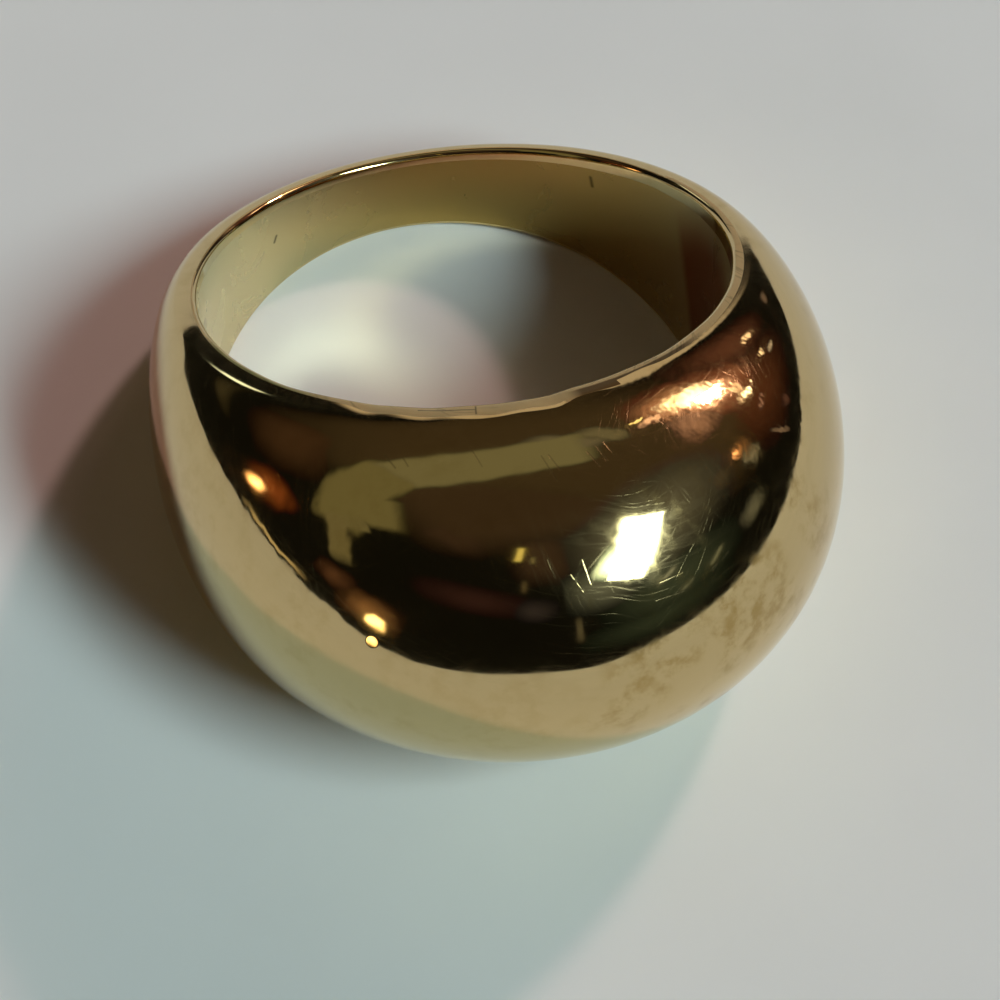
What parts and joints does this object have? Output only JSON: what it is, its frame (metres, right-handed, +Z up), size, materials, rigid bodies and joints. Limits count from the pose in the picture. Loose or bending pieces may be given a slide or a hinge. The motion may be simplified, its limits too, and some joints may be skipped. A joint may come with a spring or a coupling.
{
  "type": "dome ring",
  "caption": "Plain polished finger ring whose face swells into a high smooth dome and tapers to a thin shank.",
  "frame": {"origin": "middle of the bounding box on the surface that the ring lies on", "axes": "+Z up as the ring lies on its lower rim, +Y from the dome to the shank, +X to the right seen from the dome"},
  "size_m": [0.022, 0.025, 0.0126],
  "materials": {
    "gold": "mirror polish with fine wear scratches, gold-coloured"
  },
  "bodies": {
    "root": {"ring": "gold"}
  },
  "joints": []
}
